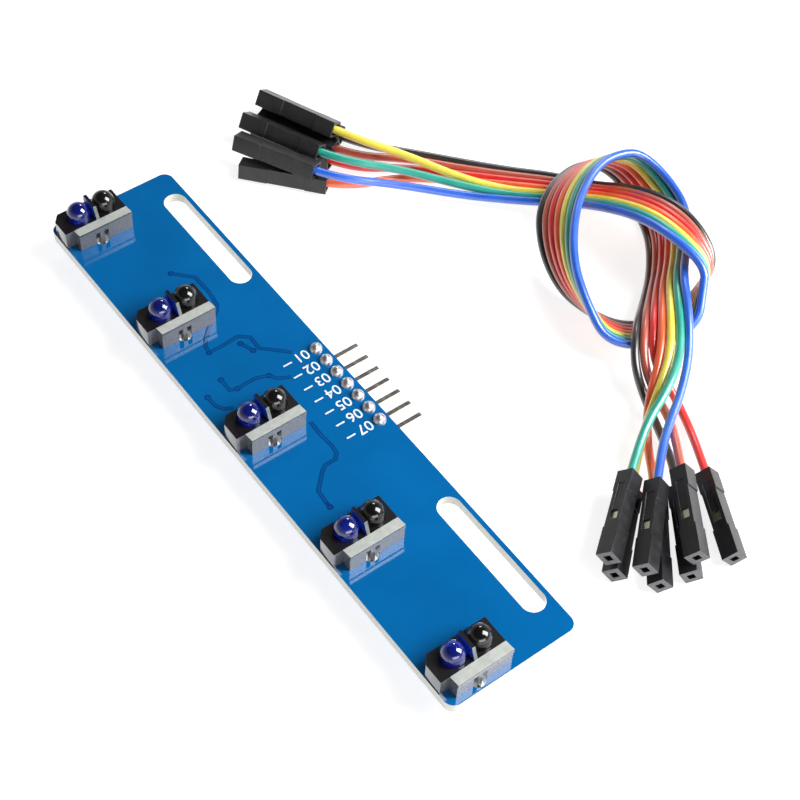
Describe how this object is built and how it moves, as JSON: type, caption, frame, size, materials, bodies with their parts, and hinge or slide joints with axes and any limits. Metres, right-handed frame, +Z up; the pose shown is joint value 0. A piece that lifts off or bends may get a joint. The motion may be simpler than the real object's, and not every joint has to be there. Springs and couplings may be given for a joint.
{
  "type": "infrared line sensor board with jumper cable",
  "caption": "Long narrow circuit board with a row of downward-facing infrared reflectance sensors, two long mounting slots and a pin header, beside a knotted ribbon of loose jumper wires.",
  "frame": {"origin": "on the surface that the board stands on, under the middle of the board assembly's bounding box", "axes": "+X along the board's length, +Y from the sensor edge towards the header pins and the cable, +Z up through the sensor lenses"},
  "size_m": [0.1086, 0.0813, 0.0121],
  "materials": {
    "solder_mask": "glossy blue lacquer over a glass-fibre board",
    "housing_plastic": "satin moulded black",
    "emitter_epoxy": "clear deep-blue tinted epoxy",
    "detector_epoxy": "near-black infrared-pass epoxy",
    "tinned_lead": "tinned",
    "solder": "bright solder",
    "header_plastic": "satin black",
    "pin_plating": "thin pale-gold flash over tin",
    "chip_body": "black glaze with tinned ends",
    "plug_plastic": "semi-gloss moulded black",
    "contact_metal": "tinned brass",
    "insulation_black": "soft vinyl",
    "insulation_brown": "soft vinyl",
    "insulation_red": "soft vinyl",
    "insulation_orange": "soft vinyl",
    "insulation_yellow": "soft vinyl",
    "insulation_green": "soft vinyl",
    "insulation_blue": "soft vinyl"
  },
  "bodies": {
    "sensor_board": {"circuit_board": "solder_mask", "sensor_housing_1": "housing_plastic", "emitter_1": "emitter_epoxy", "detector_1": "detector_epoxy", "sensor_leads_1": "tinned_lead", "sensor_housing_2": "housing_plastic", "emitter_2": "emitter_epoxy", "detector_2": "detector_epoxy", "sensor_leads_2": "tinned_lead", "sensor_housing_3": "housing_plastic", "emitter_3": "emitter_epoxy", "detector_3": "detector_epoxy", "sensor_leads_3": "tinned_lead", "sensor_housing_4": "housing_plastic", "emitter_4": "emitter_epoxy", "detector_4": "detector_epoxy", "sensor_leads_4": "tinned_lead", "sensor_housing_5": "housing_plastic", "emitter_5": "emitter_epoxy", "detector_5": "detector_epoxy", "sensor_leads_5": "tinned_lead", "sensor_solder": "solder", "header_insulator": "header_plastic", "header_pins": "pin_plating", "header_solder": "solder", "led_resistors": "chip_body", "pullup_resistors": "chip_body"},
    "jumper_cable": {"wire_black": "insulation_black", "wire_brown": "insulation_brown", "wire_red": "insulation_red", "wire_orange": "insulation_orange", "wire_yellow": "insulation_yellow", "wire_green": "insulation_green", "wire_blue": "insulation_blue", "plug_a_black": "plug_plastic", "plug_a_brown": "plug_plastic", "plug_a_red": "plug_plastic", "plug_a_orange": "plug_plastic", "plug_a_yellow": "plug_plastic", "plug_a_green": "plug_plastic", "plug_a_blue": "plug_plastic", "plug_b_black": "plug_plastic", "plug_b_brown": "plug_plastic", "plug_b_red": "plug_plastic", "plug_b_orange": "plug_plastic", "plug_b_yellow": "plug_plastic", "plug_b_green": "plug_plastic", "plug_b_blue": "plug_plastic", "crimp_contacts_a": "contact_metal", "crimp_contacts_b": "contact_metal"}
  },
  "joints": [
    {"name": "cable_lift", "type": "slide", "parent": "sensor_board", "child": "jumper_cable", "axis": [0, 0, 1], "range_m": [0, 0.06]}
  ]
}
